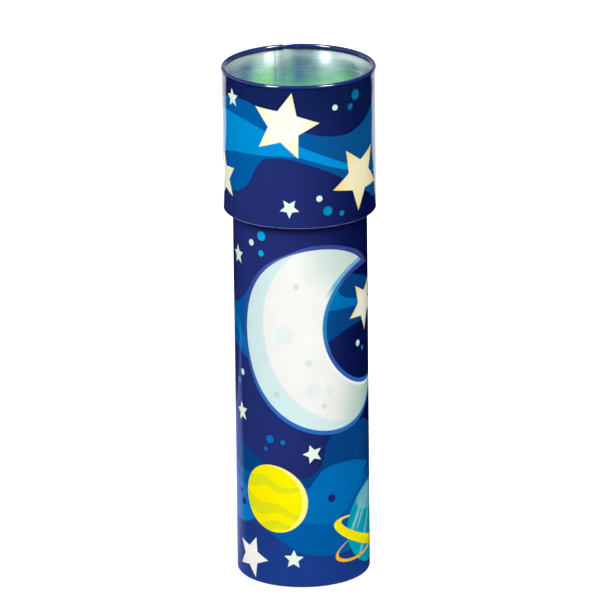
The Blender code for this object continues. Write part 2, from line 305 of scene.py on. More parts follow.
NAVY_LIGHT = srgb(35, 47, 112)
NAVY_DEEP = srgb(6, 18, 72)
NAVY_TOP = srgb(10, 28, 72)
# Painted reflection of the bright floor, low on the tube
NAVY_FOOT_PAINTED_REFLECTION = srgb(28, 66, 146)
# Painted shadow, under the cap's flange and in the crease under the rim's curl
NAVY_PAINTED_SHADOW = srgb(4, 10, 40)
# Wear on the folds in the lilac of their highlight: partly a painted highlight
FOLD_WEAR_AND_HIGHLIGHT = srgb(176, 170, 232)
# Painted sheen on the rim's curl
RIM_PAINTED_SHEEN = srgb(24, 40, 112)
BLUE_MID = srgb(0, 92, 164)
BLUE_DULL = srgb(10, 80, 140)
BLUE_DARK = srgb(6, 66, 130)
BLUE_BRIGHT = srgb(0, 142, 212)
BLUE_BAND = srgb(0, 112, 184)
BLUE_LEAF = srgb(0, 108, 180)
BLUE_SWOOSH = srgb(8, 118, 194)
CREAM = srgb(254, 252, 230)
CREAM_TIP = srgb(252, 244, 184)
CREAM_WARM = srgb(252, 222, 130)
CREAM_DULL = srgb(252, 244, 200)
WHITE_WARM = srgb(254, 254, 246)
MINT = srgb(232, 248, 228)
PALE = srgb(205, 238, 232)
TEAL_DOT = srgb(0, 138, 176)
TEAL_DOT_DIM = srgb(0, 112, 150)
SKY_DOT = srgb(0, 172, 222)
DEEP_DOT = srgb(0, 112, 190)
PLUM_DOT = srgb(26, 34, 110)
MOON_WHITE = srgb(240, 241, 236)
MOON_AQUA = srgb(210, 234, 234)
MOON_SHADE = srgb(178, 212, 200)
MOON_BLUE = srgb(112, 186, 214)
MOON_EDGE = srgb(252, 253, 252)
HALO = srgb(58, 74, 152)
HALO_THIN = srgb(98, 108, 180)
HALO_SKY = srgb(42, 112, 196)
HALO_BITE = srgb(44, 130, 188)
YELLOW = srgb(255, 240, 0)
YELLOW_RIM = srgb(255, 246, 140)
OLIVE = srgb(206, 218, 32)
RING_GOLD = srgb(255, 190, 20)
AQUA = srgb(0, 166, 186)
AQUA_PALE = srgb(150, 208, 208)
CORAL = srgb(236, 112, 70)
CORAL_PALE = srgb(248, 160, 104)

# Colours of bare and raw materials, and of a painted glare
TIN_DARK = srgb(196, 206, 216)
TIN_LIGHT = srgb(230, 237, 240)
TIN_CLOUDED = srgb(186, 192, 200)
# White of the painted glare on the tin under the rim
TIN_SCUFF_AND_GLARE = srgb(250, 252, 252)
FROST = srgb(124, 152, 190)
FROST_DEEP = srgb(84, 116, 176)
FLOOR_WHITE = (0.86, 0.86, 0.87)
HAZE = srgb(176, 178, 250)
WHITE = (1.0, 1.0, 1.0)
BLACK = (0.0, 0.0, 0.0)


def draw_stars(sheet, paint, stars, colour, warm=None):
    """Stars as (across, up, radius, turn), their tips warmed where an ink is given."""
    for across, up, radius, turn in stars:
        distance = sheet.star(across, up, radius, turn)
        ink = colour
        if warm:
            outward = sheet.dot(across, up, 0.0).ramp(0.35 * radius, radius)
            ink = Paint(sheet.tree, colour).over(outward, warm).colour
        paint.over(inside(distance), ink)


def draw_dots(sheet, paint, dots, colour):
    """Round dots as (across, up, radius)."""
    for across, up, radius in dots:
        paint.over(inside(sheet.dot(across, up, radius)), colour)


def night_ground(sheet):
    """Navy, lighter on one side of the tin than on the other."""
    shade = (sheet.angle + math.radians(52.0)).math("COSINE") * 0.5 + 0.5
    return Paint(sheet.tree, NAVY_DEEP).over(shade.ramp(0.3, 1.0), NAVY_LIGHT)


def draw_cap(sheet):
    """Swirls, stars and dots on the cap."""
    paint = night_ground(sheet)
    paint.over(sheet.up.ramp(150.0, 172.0) * 0.75, NAVY_TOP)
    high = sheet.ridge([
        (-72, 158), (-62, 152), (-50, 157), (-40, 164), (-31.5, 167.2), (-22, 168.4), (-15.9, 167.4),
        (-6, 163), (2.4, 159), (9.3, 157.3), (15.2, 156.9), (20.7, 158), (25, 159.8), (30, 163.2),
        (37, 168), (46, 169), (56, 163), (68, 158), (80, 158),
    ])
    low = sheet.ridge([
        (-72, 147), (-62, 139), (-50, 146), (-40, 143), (-33, 138), (-25.9, 136.1), (-22, 137.4),
        (-18, 140.8), (-15.9, 144.6), (-13.4, 148.2), (-10, 150), (-5.3, 150.2), (0, 149),
        (8, 146), (17, 141), (28, 134.4), (35, 131.6), (44, 134), (54, 143), (66, 149), (80, 148),
    ])
    swirl = sheet.between(low, high)
    dulled = sheet.across.ramp(-8.0, 16.0) * sheet.across.ramp(60.0, 40.0)
    blue = Paint(sheet.tree, BLUE_MID).over(dulled, BLUE_DULL)
    band_high = sheet.ridge([
        (-72, 150), (-62, 147), (-50, 155), (-40, 161.5), (-31.2, 162.8), (-22.2, 162.2),
        (-16.4, 160.8), (-11.9, 159.2), (0, 154.4), (8.2, 150.8), (17.9, 146.4), (26, 143),
        (34, 141), (46, 146), (56, 152), (66, 153), (80, 152),
    ])
    band_low = sheet.ridge([
        (-72, 149), (-62, 144), (-50, 147), (-40, 147), (-31.2, 148.4), (-22.2, 150.1),
        (-16.4, 150.4), (-10.5, 150.7), (-4, 150.9), (3.7, 149.3), (9.2, 147.3), (17.5, 144.6),
        (24, 142.6), (34, 140.5), (46, 141), (56, 145), (66, 150), (80, 151),
    ])
    blue.over(sheet.between(band_low, band_high), BLUE_BRIGHT)
    paint.over(swirl, blue.colour)
    draw_dots(sheet, paint, [(20.8, 169.7, 1.75), (18.4, 166.1, 1.05)], TEAL_DOT_DIM)
    draw_dots(sheet, paint, [(9.4, 131.8, 1.6), (14.6, 130.3, 0.9)], TEAL_DOT)
    draw_dots(sheet, paint, [(12.3, 166.8, 1.0), (6.5, 136.3, 1.05)], PALE)
    teal = [(-50, 134.5, 1.5), (-46, 131.5, 0.9), (48, 138, 1.6), (60, 170, 1.5)]
    draw_dots(sheet, paint, teal, TEAL_DOT)
    draw_dots(sheet, paint, [(-47, 168.5, 1.0), (52, 135, 1.0), (63.5, 167, 0.9)], PALE)
    small = [(-26.2, 167.8, 3.3, 96), (-3.5, 133.2, 3.4, -90), (41, 150, 3.2, 80), (-58, 165, 3.3, 60)]
    draw_stars(sheet, paint, small + [(64, 134.5, 3.4, 100), (-72, 134, 3.0, 80)], MINT)
    draw_stars(sheet, paint, [(-5.0, 161.2, 11.8, 77), (-33.0, 139.5, 8.5, 30)], CREAM, CREAM_TIP)
    dull = [(22.7, 141.4, 11.7, 50), (56, 155, 9.6, 62), (-58, 150, 8.4, 95)]
    draw_stars(sheet, paint, dull, CREAM_DULL, CREAM_WARM)
    return draw_rim(sheet, paint)


def draw_moon(sheet, paint):
    """A plain crescent with a halo, a tinted outer limb and faint craters."""
    outer = sheet.oval(8.3, 85.5, 28.6, 32.1, 22.0)
    bite = sheet.oval(27.2, 88.6, 19.9, 21.6, 14.0)
    upper = (sheet.across * 0.5 + sheet.up).ramp(96.0, 116.0)
    left = sheet.across.ramp(6.0, -6.0)
    width = upper * sheet.across.ramp(16.0, 24.0) * 0.5 - upper * left * 0.85 + 1.35
    spread = outer.most(-bite) - width
    ink = Paint(sheet.tree, HALO).over(sheet.up.ramp(86.0, 66.0), HALO_SKY)
    ink.over(upper * left, HALO_THIN)
    ink.over(inside(bite) * sheet.dot(8.0, 94.0, 0.0).ramp(15.0, 9.0), HALO_BITE)
    paint.over(inside(spread) * 0.92, ink.colour)
    limb = sheet.oval(15.6, 88.2, 28.4, 32.6, 22.0)
    ink = Paint(sheet.tree, MOON_WHITE).over(limb.ramp(-0.5, 0.5), MOON_AQUA)
    ink.over(sheet.dot(14.0, 116.0, 0.0).ramp(19.0, 4.0) * 0.55, MOON_SHADE)
    ink.over(sheet.dot(31.0, 58.0, 0.0).ramp(23.0, 6.0) * 0.9, MOON_SHADE)
    for across, up, radius in ((-5.6, 87.8, 3.4), (3.8, 68.4, 2.5), (2.8, 107.0, 1.4), (9.4, 67.6, 1.5)):
        ink.over(inside(sheet.dot(across, up, radius), 0.3) * 0.42, MOON_AQUA)
    for across, up, radius in ((-8.6, 66.7, 1.15), (7.6, 62.6, 0.95), (-1.6, 104.6, 0.9), (2.4, 78.0, 1.2)):
        ink.over(inside(sheet.dot(across, up, radius), 0.15) * 0.5, MOON_SHADE)
    ink.over(inside(bite - 1.4) * sheet.up.ramp(99.0, 104.0), MOON_BLUE)
    ink.over(inside(bite - 0.8, 0.25) * sheet.up.ramp(88.0, 76.0), MOON_EDGE)
    paint.over(inside(outer.most(-bite)), ink.colour)


def draw_yellow_planet(sheet, paint):
    """A plain egg-shaped planet with three wavy cloud bands."""
    body = sheet.oval(-9.9, 30.0, 12.1, 11.2, 128.0)
    ink = Paint(sheet.tree, YELLOW)
    along = sheet.across + 10.0
    for height, half, tilt in ((34.6, 1.5, -0.12), (26.0, 1.7, -0.2), (20.0, 1.5, 0.05)):
        wave = (along * 0.42 + height).math("SINE") * 0.9
        band = (sheet.up - along * tilt - wave - height).size() - (along * -0.09 + half)
        ink.over(inside(band, 0.15) * 0.62, OLIVE)
    lit = sheet.oval(-12.0, 29.6, 12.0, 11.6, 128.0)
    ink.over(lit.ramp(-0.1, 0.3), YELLOW_RIM)
    paint.over(inside(body), ink.colour)


def draw_ringed_planet(sheet, paint, body_ink, streak_ink):
    """A planet with a wide flat ring and a thin second one, both passing behind it and in front."""
    wide = sheet.oval(30.0, 14.5, 20.2, 5.6, -18.0).most(-sheet.oval(30.6, 15.6, 18.0, 3.5, -18.0))
    thin = sheet.oval(26.6, 12.2, 15.8, 4.9, 13.0).most(-sheet.oval(27.5, 12.8, 15.6, 4.5, 13.0))
    paint.over(inside(wide), YELLOW)
    paint.over(inside(thin), RING_GOLD)
    ink = Paint(sheet.tree, body_ink)
    ink.over(inside(sheet.oval(33.0, 30.0, 13.0, 7.0, 20.0), 0.4) * 0.45, streak_ink)
    streaks = ((19.5, 19.0, 5.0), (21.5, 22.5, 6.5), (25.0, 23.5, 8.0), (24.0, 10.0, 6.0), (29.0, 20.0, 8.0))
    for across, up, half_width in streaks:
        ink.over(inside(sheet.oval(across, up, half_width, 0.75, 58.0), 0.25) * 0.6, streak_ink)
    paint.over(inside(sheet.oval(30.0, 17.2, 13.9, 14.2)), ink.colour)
    low = sheet.up + (sheet.across - 30.0) * 0.32 - 15.0
    paint.over(inside(wide.most(low)), YELLOW)
    under = sheet.up - (sheet.across - 26.6) * 0.23 - 11.4
    paint.over(inside(thin.most(under)), RING_GOLD)


def draw_tube(sheet):
    """Moon, planets, clouds of blue, stars and dots on the tube."""
    paint = night_ground(sheet)
    # Painted reflection: lighter navy towards the foot, where the tin mirrors the bright floor.
    paint.over(sheet.up.ramp(40.0, 4.0) * 0.8, NAVY_FOOT_PAINTED_REFLECTION)
    cap_edge = CAP_EDGE_Z / MM
    # Painted shadow: the tube darkened just under the cap's flange, where the cap's shadow falls.
    paint.over(sheet.level.ramp(cap_edge - 3.6, cap_edge - 0.4) * 0.75, NAVY_PAINTED_SHADOW)

    # the cloud behind the moon
    top = sheet.ridge([
        (-64, 88), (-52, 98), (-44, 96), (-36, 93.5), (-30, 94.6), (-26, 96), (-22.8, 98.4),
        (-19.3, 102.6), (-16.3, 107), (-11, 111), (2, 113), (12, 109), (16, 107.8), (24, 105),
        (31, 102.2), (40, 97), (52, 92), (66, 90),
    ])
    bottom = sheet.ridge([
        (-64, 76), (-52, 83), (-44, 84), (-36, 82), (-30, 80.6), (-24, 78.4), (-19, 77.2), (-8, 80),
        (4, 83), (12, 86), (17, 88.2), (23, 89), (30, 88.2), (40, 83), (52, 80), (66, 78),
    ])
    cloud = sheet.between(bottom, top)
    ink = Paint(sheet.tree, BLUE_MID).over(sheet.across.ramp(0.0, 14.0), BLUE_DARK)
    streak_top = sheet.ridge([
        (-64, 84), (-44, 92), (-31, 91.6), (-26.5, 90), (-19, 84), (0, 100), (9, 103.4), (15, 99.6),
        (23, 97), (31, 95.4), (52, 89), (66, 86),
    ])
    streak_low = sheet.ridge([
        (-64, 81), (-44, 87), (-31, 87), (-26.5, 84.4), (-19, 79), (0, 92), (9, 95.4), (15, 95.4),
        (23, 95.2), (31, 94.6), (52, 86), (66, 84),
    ])
    ink.over(sheet.between(streak_low, streak_top), BLUE_BAND)
    paint.over(cloud, ink.colour)

    # the clouds round the planets
    shelf = sheet.ridge([
        (-64, 44), (-50, 50), (-40, 51), (-33, 50.4), (-28, 49), (-20.3, 45.8), (-14.5, 43), (-8, 40),
        (0, 37.6), (3.1, 38.8), (6, 41.2), (7.3, 45.2), (8.6, 49.8), (13, 54), (20, 55.2), (30, 52),
        (42, 47), (54, 44), (66, 43),
    ])
    floor = sheet.ridge([
        (-64, 26), (-50, 23), (-40, 21), (-30, 21), (-20, 21.4), (-12, 18), (-6.2, 14.4), (-1.2, 11.7),
        (5.8, 10.1), (11.7, 9.8), (20, 10.6), (32, 13), (44, 20), (54, 25), (66, 27),
    ])
    paint.over(sheet.between(floor, shelf), BLUE_DARK)
    second = sheet.ridge([
        (-64, 38), (-50, 40), (-40, 40), (-30, 38.6), (-20.3, 37.1), (-12, 36), (-4, 35.0), (2, 34.4),
        (9, 34.4), (16, 35.0), (24, 35.6), (34, 36), (44, 36), (54, 36), (66, 37),
    ])
    paint.over(sheet.between(floor, second), BLUE_MID)
    leaf_top = sheet.ridge([
        (-30, 15), (-2, 20), (0.4, 27), (1.8, 32.5), (4.8, 37.8), (10.3, 41.5), (16.5, 41.8), (24, 40.2),
        (30, 37.5), (40, 30), (60, 20),
    ])
    leaf_low = sheet.ridge([
        (-30, 30), (-2, 23), (0.5, 22.1), (7.8, 21.4), (14.9, 24.5), (17.7, 27.1), (23.8, 33.1),
        (32, 40), (60, 45),
    ])
    paint.over(sheet.between(leaf_low, leaf_top), BLUE_LEAF)
    paint.over(inside(sheet.oval(-31.0, 27.0, 14.0, 7.6, -14.0), 0.1), BLUE_SWOOSH)

    draw_dots(sheet, paint, [(-13.7, 121.1, 1.6), (-13.9, 115.1, 1.05)], SKY_DOT)
    draw_dots(sheet, paint, [(-18.1, 118.1, 1.1), (-23.9, 71.6, 1.1), (22.2, 81.7, 1.1)], PALE)
    teal = [(-26.4, 68.0, 1.1), (25.2, 79.3, 0.85), (46, 104, 1.5), (-48, 62, 1.4)]
    draw_dots(sheet, paint, teal, TEAL_DOT)
    draw_dots(sheet, paint, [(-11.3, 50.8, 1.4), (-6.6, 50.1, 0.85), (-12.9, 47.2, 0.7)], DEEP_DOT)
    plum = [(9.9, 30.0, 1.4), (-25.6, 29.7, 0.8), (-24.1, 26.0, 1.3), (25.6, 42.7, 0.7)]
    draw_dots(sheet, paint, plum, PLUM_DOT)
    draw_dots(sheet, paint, [(50, 100.5, 1.0), (-52, 58.5, 0.9), (-40, 109, 1.0), (58, 60, 1.2)], PALE)
    small = [(-26.1, 112.0, 3.5, 95), (-24.6, 57.6, 3.5, 100), (3.4, 46.2, 3.4, 180), (-3.3, 9.1, 3.4, 88)]
    small += [(44, 115, 3.6, 80), (-50, 116, 3.4, 70), (-44, 70, 3.2, 110)]
    small += [(50, 68, 3.4, 95), (62, 12, 3.5, 85)]
    draw_stars(sheet, paint, small, MINT)
    draw_moon(sheet, paint)
    draw_stars(sheet, paint, [(-20.0, 7.9, 7.5, 70), (-49, 97, 7.6, 60)], WHITE_WARM)
    draw_stars(sheet, paint, [(26.8, 94.4, 9.4, -88), (56, 79, 8.0, 75)], CREAM, CREAM_WARM)
    draw_yellow_planet(sheet, paint)
    draw_ringed_planet(sheet, paint, AQUA, AQUA_PALE)
    draw_coral_planet(sheet, paint)
    return paint


def draw_coral_planet(sheet, paint):
    """A small banded planet on the back of the tube."""
    ink = Paint(sheet.tree, CORAL)
    for height, half in ((49.0, 1.0), (44.2, 1.3), (39.6, 0.9)):
        band = (sheet.up - sheet.across * 0.18 - height).size() - half
        ink.over(inside(band, 0.2) * 0.8, CORAL_PALE)
    paint.over(inside(sheet.dot(-50.0, 36.0, 8.4)), ink.colour)


# ---------------------------------------------------------------- materials


def new_material(name):
    """A material with its node tree and its Principled shader."""
    made = bpy.data.materials.new(name)
    made.use_nodes = True
    tree = made.node_tree
    return made, tree, tree.nodes["Principled BSDF"]


def noise(tree, place, scale, detail=2.0, roughness=0.5):
    node = tree.nodes.new("ShaderNodeTexNoise")
    tree.links.new(place, node.inputs["Vector"])
    node.inputs["Scale"].default_value = scale
    node.inputs["Detail"].default_value = detail
    node.inputs["Roughness"].default_value = roughness
    return Field(tree, node.outputs["Fac"])


def bump(tree, height, distance, strength=1.0, normal=None):
    node = tree.nodes.new("ShaderNodeBump")
    node.inputs["Strength"].default_value = strength
    node.inputs["Distance"].default_value = distance
    join(tree, height, node.inputs["Height"])
    if normal is not None:
        tree.links.new(normal, node.inputs["Normal"])
    return node.outputs["Normal"]


def cylinder_place(tree, sheet, across_scale, up_scale):
    """A vector of the unrolled surface, stretched for grain."""
    node = tree.nodes.new("ShaderNodeCombineXYZ")
    join(tree, sheet.across * across_scale, node.inputs[0])
    join(tree, sheet.up * up_scale, node.inputs[1])
    return node.outputs[0]


def draw_rim(sheet, paint):
    """Lighter navy over the curl as a painted sheen, and a dark line in the crease below it as a painted
    shadow.
    """
    crease = (HEIGHT - RIM_CREASE_H) / MM
    # Painted sheen: lighter navy over the curl.
    paint.over(sheet.level.ramp(crease, crease + 0.12), RIM_PAINTED_SHEEN)
    # Painted shadow: a dark line in the crease under the curl.
    paint.over((sheet.level - crease + 0.12).size().ramp(0.22, 0.08) * 0.8, NAVY_PAINTED_SHADOW)
    return paint


def printed_tin(name, radius, base, draw, wear_and_highlight_lines):
    """Litho print under a clear varnish, rubbed through to the tin along some folds, where a pale lilac also
    paints the fold's highlight.

    The print's heights are counted from base, in millimetres above the standing ring. A line of wear is its
    height, its half width and the share of it that is rubbed through and carries the painted highlight.
    """
    made, tree, shader = new_material(name)
    sheet = Sheet(tree, radius, base)
    paint = draw(sheet)
    ink_grain = noise(tree, sheet.place, 5200.0, 3.0)
    mottle = noise(tree, sheet.place, 160.0, 3.0)
    tone = ink_grain * 0.10 + mottle * 0.08 + 0.91
    tint = tree.nodes.new("ShaderNodeMix")
    tint.data_type = "RGBA"
    tint.blend_type = "MULTIPLY"
    tint.inputs[0].default_value = 1.0
    join(tree, paint.colour, tint.inputs[6])
    grey = tree.nodes.new("ShaderNodeCombineColor")
    for slot in grey.inputs:
        join(tree, tone, slot)
    tree.links.new(grey.outputs[0], tint.inputs[7])
    speckle = noise(tree, sheet.place, 900.0, 4.0, 0.65)
    wear_and_highlight = None
    # Painted highlight: the lines of wear are pale lilac, the colour of the light along the folds.
    for height, half, share in wear_and_highlight_lines:
        line = (sheet.level - height).size().ramp(half, half * 0.3) * speckle.ramp(0.62 - share, 0.62)
        wear_and_highlight = line if wear_and_highlight is None else wear_and_highlight.most(line)
    shown = Paint(tree, tint.outputs[2]).over(wear_and_highlight, FOLD_WEAR_AND_HIGHLIGHT)
    join(tree, shown.colour, shader.inputs["Base Color"])
    join(tree, wear_and_highlight * 0.25, shader.inputs["Metallic"])
    join(tree, mottle * 0.12 + 0.34, shader.inputs["Roughness"])
    shader.inputs["IOR"].default_value = 1.45
    shader.inputs["Specular IOR Level"].default_value = 0.0
    shader.inputs["Coat Weight"].default_value = 1.0
    join(tree, speckle * 0.04 + 0.03, shader.inputs["Coat Roughness"])
    shader.inputs["Coat IOR"].default_value = 1.75
    ripple = noise(tree, cylinder_place(tree, sheet, 0.09, 0.03), 1.0, 2.0)
    peel = noise(tree, sheet.place, 1500.0, 2.0)
    waves = bump(tree, ripple, 0.0009, 0.35)
    skin = bump(tree, peel, 0.00002, 0.5, waves)
    tree.links.new(skin, shader.inputs["Normal"])
    tree.links.new(skin, shader.inputs["Coat Normal"])
    return made


def bare_tin(name, radius):
    """Unprinted tinplate: grain round the cylinder, so that highlights stretch along the axis."""
    made, tree, shader = new_material(name)
    sheet = Sheet(tree, radius)
    grain = noise(tree, cylinder_place(tree, sheet, 0.06, 4.0), 1.0, 5.0, 0.65)
    broad = noise(tree, cylinder_place(tree, sheet, 0.08, 0.5), 1.0, 3.0)
    paint = Paint(tree, TIN_DARK).over(grain.ramp(0.35, 0.65), TIN_LIGHT)
    paint.over(broad.ramp(0.5, 0.75) * 0.4, TIN_CLOUDED)
    # Handled towards the rim: duller there, most of all at the two sides. The white laid over it there is a
    # painted highlight, strongest at the sides and to the right.
    depth = HEIGHT / MM - sheet.level
    scuffed = depth.ramp(12.5, 3.5)
    right = sheet.angle.math("SINE")
    side = right.size().ramp(0.4, 0.62) * right.size().ramp(1.1, 0.8)
    glare = right.ramp(0.35, 0.55) * right.ramp(0.95, 0.7)
    dulled = depth.ramp(6.5, 2.4) * (side * 0.4 + glare * 0.5 + 0.38) * grain.ramp(0.2, 0.55)
    # Painted highlight: white glare on the tin under the rim.
    paint.over(dulled * 0.7, TIN_SCUFF_AND_GLARE)
    join(tree, paint.colour, shader.inputs["Base Color"])
    join(tree, 1.0 - dulled, shader.inputs["Metallic"])
    join(tree, scuffed * 0.1 + grain * 0.05 + broad * 0.04 + 0.17, shader.inputs["Roughness"])
    join(tree, scuffed * 0.18 + 0.74, shader.inputs["Anisotropic"])
    shader.inputs["Anisotropic Rotation"].default_value = 0.25
    tangent = tree.nodes.new("ShaderNodeTangent")
    tangent.direction_type = "RADIAL"
    tangent.axis = "Z"
    tree.links.new(tangent.outputs[0], shader.inputs["Tangent"])
    ripple = noise(tree, cylinder_place(tree, sheet, 0.09, 0.12), 1.0, 2.0)
    waves = bump(tree, ripple, 0.0005, 0.3)
    tree.links.new(bump(tree, grain, 0.00001, 0.4, waves), shader.inputs["Normal"])
    return made


def frosted_plastic():
    """Milky disc through which the beads under it show as soft clouds of green and blue, made to glow as
    painted light.
    """
    made, tree, shader = new_material("frosted_plastic")
    place = tree.nodes.new("ShaderNodeTexCoord").outputs["Object"]
    split = tree.nodes.new("ShaderNodeSeparateXYZ")
    tree.links.new(place, split.inputs[0])
    x, y = (Field(tree, out) * (1.0 / MM) for out in split.outputs[:2])
    wander = noise(tree, place, 150.0, 2.0)
    paint = Paint(tree, FROST).over(wander.ramp(0.35, 0.6) * 0.6, FROST_DEEP)
    clouds = (
        (14.5, 1.5, 11.0, (96, 238, 20)), (6.5, 9.5, 5.5, (84, 232, 16)), (-5.5, 9.0, 8.0, (98, 240, 20)),
        (-12.5, 13.5, 8.0, (96, 236, 30)), (-0.5, -6.0, 8.0, (24, 66, 190)), (2.8, 3.8, 3.4, (26, 78, 190)),
        (9.0, 20.5, 5.0, (50, 100, 190)), (12.0, -12.0, 7.0, (70, 110, 190)),
        (-16.0, 0.0, 6.0, (60, 112, 180)), (-9.0, -14.0, 7.0, (90, 112, 186)),
    )
    for centre_x, centre_y, radius, tint in clouds:
        dx, dy = x - centre_x, y - centre_y
        reach = (dx * dx + dy * dy).root() + wander * 8.0 - 4.0
        paint.over(reach.ramp(radius * 1.5, radius * 0.3) * 0.9, srgb(*tint))
    # Painted glow: the disc gives off its own colours, standing in for daylight scattered back through it by
    # the beads under it.
    join(tree, paint.colour, shader.inputs["Emission Color"])
    shader.inputs["Emission Strength"].default_value = 0.5
    join(tree, paint.over(0.5, BLACK).colour, shader.inputs["Base Color"])
    frost = noise(tree, place, 6500.0, 2.0)
    join(tree, frost * 0.2 + 0.42, shader.inputs["Roughness"])
    shader.inputs["Transmission Weight"].default_value = 0.25
    shader.inputs["IOR"].default_value = 1.49
    shader.inputs["Specular IOR Level"].default_value = 0.15
    tree.links.new(bump(tree, frost, 0.00002, 0.6), shader.inputs["Normal"])
    return made


def clear_plastic():
    """Clear window and floor discs with a trace of haze."""
    made, tree, shader = new_material("clear_plastic")
    place = tree.nodes.new("ShaderNodeTexCoord").outputs["Object"]
    haze = noise(tree, place, 240.0, 3.0)
    paint = Paint(tree, srgb(246, 250, 250)).over(haze.ramp(0.5, 0.8) * 0.4, srgb(222, 234, 238))
    join(tree, paint.colour, shader.inputs["Base Color"])
    join(tree, haze * 0.05 + 0.02, shader.inputs["Roughness"])
    shader.inputs["Transmission Weight"].default_value = 1.0
    shader.inputs["IOR"].default_value = 1.49
    return made


def silvered_glass():
    """Mirror strips, slightly clouded in places."""
    made, tree, shader = new_material("mirror_strip")
    place = tree.nodes.new("ShaderNodeTexCoord").outputs["Object"]
    haze = noise(tree, place, 90.0, 4.0)
    paint = Paint(tree, srgb(236, 240, 242)).over(haze.ramp(0.5, 0.8) * 0.3, srgb(206, 214, 220))
    join(tree, paint.colour, shader.inputs["Base Color"])
    shader.inputs["Metallic"].default_value = 1.0
    join(tree, haze * 0.03 + 0.005, shader.inputs["Roughness"])
    return made


def fibrous(name, dark, light, scale, roughness):
    """Card and paper: short fibres over a mottled ground."""
    made, tree, shader = new_material(name)
    place = tree.nodes.new("ShaderNodeTexCoord").outputs["Object"]
    stretch = tree.nodes.new("ShaderNodeMapping")
    stretch.inputs["Scale"].default_value = (1.0, 1.0, 0.18)
    tree.links.new(place, stretch.inputs["Vector"])
    fibre = noise(tree, stretch.outputs[0], scale, 5.0, 0.7)
    paint = Paint(tree, dark).over(fibre.ramp(0.3, 0.7), light)
    join(tree, paint.colour, shader.inputs["Base Color"])
    join(tree, fibre * 0.15 + roughness - 0.1, shader.inputs["Roughness"])
    tree.links.new(bump(tree, fibre, 0.00008, 0.6), shader.inputs["Normal"])
    return made


def moulded_white():
    """White moulded rings: spark-eroded texture and faint flow marks."""
    made, tree, shader = new_material("white_plastic")
    place = tree.nodes.new("ShaderNodeTexCoord").outputs["Object"]
    spark = noise(tree, place, 1800.0, 3.0)
    flow = noise(tree, place, 120.0, 2.0)
    paint = Paint(tree, srgb(232, 234, 232)).over(flow.ramp(0.4, 0.7) * 0.5, srgb(220, 224, 224))
    join(tree, paint.colour, shader.inputs["Base Color"])
    join(tree, spark * 0.15 + 0.32, shader.inputs["Roughness"])
    tree.links.new(bump(tree, spark, 0.00003, 0.4), shader.inputs["Normal"])
    return made


def drawn_wire():
    """Bright drawn spring wire."""
    made, tree, shader = new_material("spring_wire")
    place = tree.nodes.new("ShaderNodeTexCoord").outputs["Object"]
    streak = noise(tree, place, 2600.0, 4.0)
    paint = Paint(tree, srgb(192, 194, 196)).over(streak.ramp(0.4, 0.7), srgb(206, 208, 210))
    join(tree, paint.colour, shader.inputs["Base Color"])
    shader.inputs["Metallic"].default_value = 1.0
    join(tree, streak * 0.08 + 0.26, shader.inputs["Roughness"])
    return made


def tinted_glass(name, colour):
    """Tinted clear bead: the colour pools unevenly over a slightly bumpy surface."""
    made, tree, shader = new_material(name)
    place = tree.nodes.new("ShaderNodeTexCoord").outputs["Object"]
    pool = noise(tree, place, 700.0, 2.0)
    darker = tuple(channel * 0.6 for channel in colour)
    paint = Paint(tree, colour).over(pool.ramp(0.45, 0.7) * 0.6, darker)
    join(tree, paint.colour, shader.inputs["Base Color"])
    join(tree, pool * 0.08 + 0.04, shader.inputs["Roughness"])
    shader.inputs["Transmission Weight"].default_value = 0.5
    shader.inputs["IOR"].default_value = 1.5
    tree.links.new(bump(tree, pool, 0.00004, 0.4), shader.inputs["Normal"])
    return made


# ---------------------------------------------------------------- meshes


def arc(centre_r, centre_z, radius, start_deg, end_deg, steps):
    """Points (r, z) on an arc. 0 degrees points away from the axis and 90 degrees points up."""
    angles = np.radians(np.linspace(start_deg, end_deg, steps + 1))
    return np.column_stack((centre_r + radius * np.cos(angles), centre_z + radius * np.sin(angles)))


def straight(start, end, steps):
    """Points between two ends, both left out."""
    shares = np.linspace(0.0, 1.0, steps + 1)[1:-1, None]
    return np.asarray(start) * (1.0 - shares) + np.asarray(end) * shares


def path_normals(path):
    """Unit normals of a path, away from the axis where the path runs up a wall."""
    along = np.gradient(path, axis=0)
    along /= np.linalg.norm(along, axis=1)[:, None]
    return np.column_stack((along[:, 1], -along[:, 0]))


